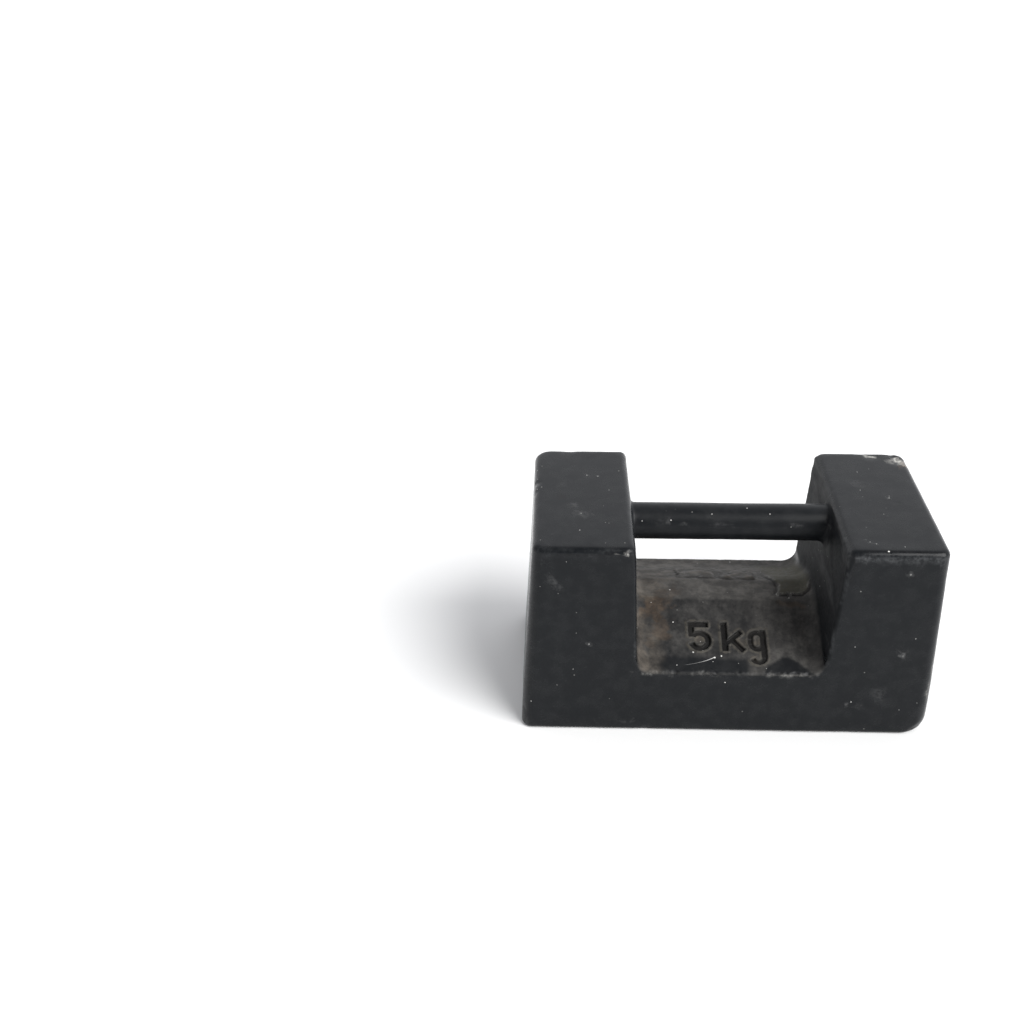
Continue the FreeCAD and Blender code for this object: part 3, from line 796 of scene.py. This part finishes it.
def attr(name, vector=False):
    n = node("ShaderNodeAttribute", attribute_type="GEOMETRY", attribute_name=name)
    return n.outputs["Vector" if vector else "Fac"]


def calc(op, a, b=0.0, c=0.0, clamp=False):
    n = node("ShaderNodeMath", operation=op, use_clamp=clamp)
    plug(n.inputs[0], a)
    plug(n.inputs[1], b)
    if op in ("MULTIPLY_ADD",):
        plug(n.inputs[2], c)
    return n.outputs[0]


def ramp(value, lo, hi, a=0.0, b=1.0):
    n = node("ShaderNodeMapRange", interpolation_type="SMOOTHSTEP")
    plug(n.inputs["Value"], value)
    n.inputs["From Min"].default_value = lo
    n.inputs["From Max"].default_value = hi
    n.inputs["To Min"].default_value = a
    n.inputs["To Max"].default_value = b
    return n.outputs[0]


def blend(a, b, fac):
    n = node("ShaderNodeMix", data_type="RGBA", blend_type="MIX", clamp_factor=True)
    plug(n.inputs[0], fac)
    plug(n.inputs[6], a if hasattr(a, "is_output") else (*a, 1.0))
    plug(n.inputs[7], b if hasattr(b, "is_output") else (*b, 1.0))
    return n.outputs[2]


def mixf(a, b, fac):
    n = node("ShaderNodeMix", data_type="FLOAT", clamp_factor=True)
    plug(n.inputs[0], fac)
    plug(n.inputs[2], a)
    plug(n.inputs[3], b)
    return n.outputs[0]


tc = node("ShaderNodeTexCoord")
place = tc.outputs["Object"]


def grain(size_mm, detail=3.0, rough=0.55, squeeze=(1, 1, 1), shift=0.0):
    m = node("ShaderNodeMapping")
    m.inputs["Scale"].default_value = tuple(1000.0 / size_mm * s for s in squeeze)
    m.inputs["Location"].default_value = (shift, shift * 0.7, shift * 1.3)
    plug(m.inputs["Vector"], place)
    n = node("ShaderNodeTexNoise")
    n.inputs["Scale"].default_value = 1.0
    n.inputs["Detail"].default_value = detail
    n.inputs["Roughness"].default_value = rough
    plug(n.inputs["Vector"], m.outputs[0])
    return n.outputs["Fac"]


g_big, g_mid, g_fine, g_tiny = grain(24, 3), grain(6, 4, 0.6, shift=3.1), grain(1.5, 3, 0.6, shift=7.7), grain(0.55, 2, 0.6, shift=11.3)

PAINT, PAINT_HI = (0.0056, 0.0066, 0.0080), (0.0092, 0.0102, 0.0116)
DUST_A, DUST_B = (0.058, 0.055, 0.052), (0.108, 0.102, 0.095)
TAN_A, TAN_B = (0.062, 0.053, 0.043), (0.128, 0.108, 0.088)
RUST_A, RUST_B = (0.038, 0.026, 0.018), (0.090, 0.064, 0.044)
OLIVE = (0.075, 0.072, 0.052)
BARE_A, BARE_B = (0.16, 0.155, 0.15), (0.50, 0.49, 0.46)

col = blend(PAINT, PAINT_HI, ramp(g_mid, 0.40, 0.66))
# ridge dust, mottled, paler on the crest and back slope partly as painted light
dust_crest_light_fac = calc("MULTIPLY", attr("of_dust_and_crest_light"), ramp(g_fine, 0.25, 0.60, 0.72, 1.12), clamp=True)
dcol = blend(DUST_A, DUST_B, ramp(g_mid, 0.36, 0.66))
dcol = blend(dcol, OLIVE, calc("MULTIPLY", attr("of_olive"), 0.75))
col = blend(col, dcol, dust_crest_light_fac)
col = blend(col, blend(RUST_A, RUST_B, ramp(g_mid, 0.34, 0.66)), calc("MULTIPLY", attr("of_rust"), ramp(g_fine, 0.30, 0.60, 0.60, 0.95)))
# tan, with a painted highlight on the pad's lump tops
col = blend(col, blend(TAN_A, TAN_B, ramp(g_mid, 0.36, 0.68)), calc("MULTIPLY", attr("of_tan_and_highlight"), ramp(g_fine, 0.30, 0.62, 0.55, 0.92)))
# figures: painted shade dark in the cut, a painted highlight as a paler rim
col = blend(col, (0.0055, 0.0050, 0.0045), calc("MULTIPLY", attr("of_fig"), 0.85))
col = blend(col, (0.095, 0.085, 0.068), calc("MULTIPLY", attr("of_figrim"), ramp(g_fine, 0.35, 0.6, 0.15, 0.55)))
# scuffs; rubbed edges, partly a painted highlight along the front top edges; chips, partly painted highlights on the
# skin's torn rim and the front lip
col = blend(col, (0.115, 0.115, 0.115), calc("MULTIPLY", attr("of_scuff"), ramp(g_fine, 0.38, 0.62, 0.15, 0.85)))
col = blend(col, (0.085, 0.088, 0.092), calc("MULTIPLY", attr("of_worn_and_highlight"), ramp(g_fine, 0.34, 0.62, 0.15, 0.95)))
# painted shade lines, and a few dark marks
col = blend(col, (0.006, 0.006, 0.007), calc("MULTIPLY", attr("of_dark_marks_and_shade"), 0.8))
col = blend(col, (0.22, 0.13, 0.07), calc("MULTIPLY", attr("of_orange"), ramp(g_fine, 0.42, 0.6, 0.1, 0.9)))
col = blend(col, blend(BARE_A, BARE_B, ramp(g_fine, 0.40, 0.62)), calc("MULTIPLY", attr("of_chip_and_highlight"), ramp(g_tiny, 0.30, 0.55, 0.45, 1.0)))
# fine pale specks all over, more of them on the ridge
vor = node("ShaderNodeTexVoronoi", feature="F1")
vm = node("ShaderNodeMapping")
vm.inputs["Scale"].default_value = (1000 / 3.4,) * 3
plug(vm.inputs["Vector"], place)
plug(vor.inputs["Vector"], vm.outputs[0])
vor.inputs["Scale"].default_value = 1.0
sep = node("ShaderNodeSeparateColor")
plug(sep.inputs[0], vor.outputs["Color"])
few = calc("GREATER_THAN", sep.outputs[0], calc("MULTIPLY_ADD", attr("of_dust_and_crest_light"), -0.40, 0.86))
spot = calc("MULTIPLY", ramp(vor.outputs["Distance"], 0.10, 0.055), few)
col = blend(col, (0.30, 0.295, 0.28), calc("MULTIPLY", spot, calc("MULTIPLY_ADD", sep.outputs[1], 0.55, 0.10)))
# placed flecks
for k in range(4):
    ln = node("ShaderNodeVectorMath", operation="LENGTH")
    plug(ln.inputs[0], attr("of_fleck%d" % k, True))
    wob = calc("MULTIPLY_ADD", g_tiny, 1.3, ln.outputs["Value"])
    col = blend(col, (0.74, 0.73, 0.70), calc("MULTIPLY", ramp(wob, 1.75, 1.15), attr("of_power%d" % k)))
ln = node("ShaderNodeVectorMath", operation="LENGTH")
plug(ln.inputs[0], attr("of_dash", True))
col = blend(col, (0.72, 0.71, 0.70), calc("MULTIPLY", ramp(ln.outputs["Value"], 1.0, 0.3), attr("of_dashpower")))
plug(bsdf.inputs["Base Color"], col)

rough = ramp(g_mid, 0.35, 0.65, 0.19, 0.27)
rough = mixf(rough, 0.38, attr("of_bar"))
rough = mixf(rough, 0.72, attr("of_matte"))
rough = mixf(rough, 0.40, attr("of_band"))
rough = mixf(rough, 0.82, dust_crest_light_fac)
rough = mixf(rough, 0.85, attr("of_tan_and_highlight"))
rough = mixf(rough, 0.85, attr("of_rust"))
rough = mixf(rough, 0.62, attr("of_scuff"))
rough = mixf(rough, 0.55, attr("of_chip_and_highlight"))
rough = calc("ADD", rough, ramp(g_fine, 0.3, 0.7, -0.05, 0.05), clamp=True)
plug(bsdf.inputs["Roughness"], rough)

height = calc("ADD", calc("MULTIPLY", g_fine, 1.0), calc("MULTIPLY", g_tiny, 0.35))
height = calc("MULTIPLY", height, calc("MULTIPLY_ADD", attr("of_dust_and_crest_light"), 1.0, 0.14))
bump = node("ShaderNodeBump")
bump.inputs["Strength"].default_value = 0.8
bump.inputs["Distance"].default_value = 0.00012
plug(bump.inputs["Height"], height)
plug(bsdf.inputs["Normal"], bump.outputs[0])

me.materials.clear()
me.materials.append(mat)
node_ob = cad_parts["bar_weight"]
for i in range(len(node_ob.material_slots)):
    node_ob.material_slots[i].material = mat
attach(casting, "root")
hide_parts("bar_weight")

# --------------------------------------------------------------------------
# 8. Floor, light and camera
# --------------------------------------------------------------------------
bpy.context.scene.view_settings.view_transform = "Standard"
bpy.context.scene.view_settings.look = "None"

bpy.ops.mesh.primitive_grid_add(x_subdivisions=24, y_subdivisions=24, size=40.0, location=(0, 0, 0))
floor = bpy.context.object
floor.name = "floor"
fm = bpy.data.materials.new("pale_floor")
fm.use_nodes = True
fb = fm.node_tree.nodes["Principled BSDF"]
fb.inputs["Base Color"].default_value = (0.90, 0.90, 0.90, 1)
fb.inputs["Roughness"].default_value = 0.9
fb.inputs["Specular IOR Level"].default_value = 0.2
floor.data.materials.append(fm)

world = bpy.data.worlds.new("studio")
bpy.context.scene.world = world
world.use_nodes = True
wt = world.node_tree
bg = wt.nodes["Background"]
wc = wt.nodes.new("ShaderNodeTexCoord")
ws = wt.nodes.new("ShaderNodeSeparateXYZ")
wt.links.new(wc.outputs["Generated"], ws.inputs[0])
wr = wt.nodes.new("ShaderNodeMapRange")
wr.interpolation_type = "SMOOTHSTEP"
wr.inputs["From Min"].default_value = -0.3
wr.inputs["From Max"].default_value = 0.8
wr.inputs["To Min"].default_value = 0.27
wr.inputs["To Max"].default_value = 1.22
wt.links.new(ws.outputs["Y"], wr.inputs["Value"])
wh = wt.nodes.new("ShaderNodeMapRange")
wh.interpolation_type = "SMOOTHSTEP"
wh.inputs["From Min"].default_value = 0.16
wh.inputs["From Max"].default_value = 0.50
wh.inputs["To Min"].default_value = 0.80
wh.inputs["To Max"].default_value = 0.0
wt.links.new(ws.outputs["Z"], wh.inputs["Value"])
wm = wt.nodes.new("ShaderNodeMath")
wm.operation = "MAXIMUM"
wt.links.new(wr.outputs[0], wm.inputs[0])
wt.links.new(wh.outputs[0], wm.inputs[1])
wx = wt.nodes.new("ShaderNodeVectorMath")
wx.operation = "SCALE"
wx.inputs[0].default_value = (0.985, 0.995, 1.02)
wt.links.new(wm.outputs[0], wx.inputs["Scale"])
wt.links.new(wx.outputs[0], bg.inputs["Color"])
bg.inputs["Strength"].default_value = 1.0


key = bpy.data.lights.new("key", "SUN")
key.energy = 4.1
key.angle = math.radians(48)
key.color = (1.0, 0.998, 0.992)
key_ob = bpy.data.objects.new("key", key)
key_ob.rotation_euler = Vector((0.62, -0.43, 0.67)).to_track_quat("Z", "Y").to_euler()
key_ob.location = (0.9, -0.6, 1.0)
bpy.context.scene.collection.objects.link(key_ob)

cam = bpy.data.cameras.new("camera")
cam.sensor_fit = "HORIZONTAL"
cam.sensor_width = 36.0
cam.lens = 1184.5859921489557 / 1024 * 36.0
cam.clip_start, cam.clip_end = 0.01, 50.0
cob = bpy.data.objects.new("camera", cam)
cob.matrix_world = Matrix((
    (0.9993446199826868, -0.011281919584476548, 0.03439547647800281, -0.0670647807055806),
    (0.035169917761495466, 0.5275143157812069, -0.848817838838543, -0.38836741535631564),
    (-0.008567811640616636, 0.849471226667728, 0.5275653776237751, 0.3170412250010047),
    (0, 0, 0, 1)))
bpy.context.scene.collection.objects.link(cob)
bpy.context.scene.camera = cob

bpy.context.view_layer.update()
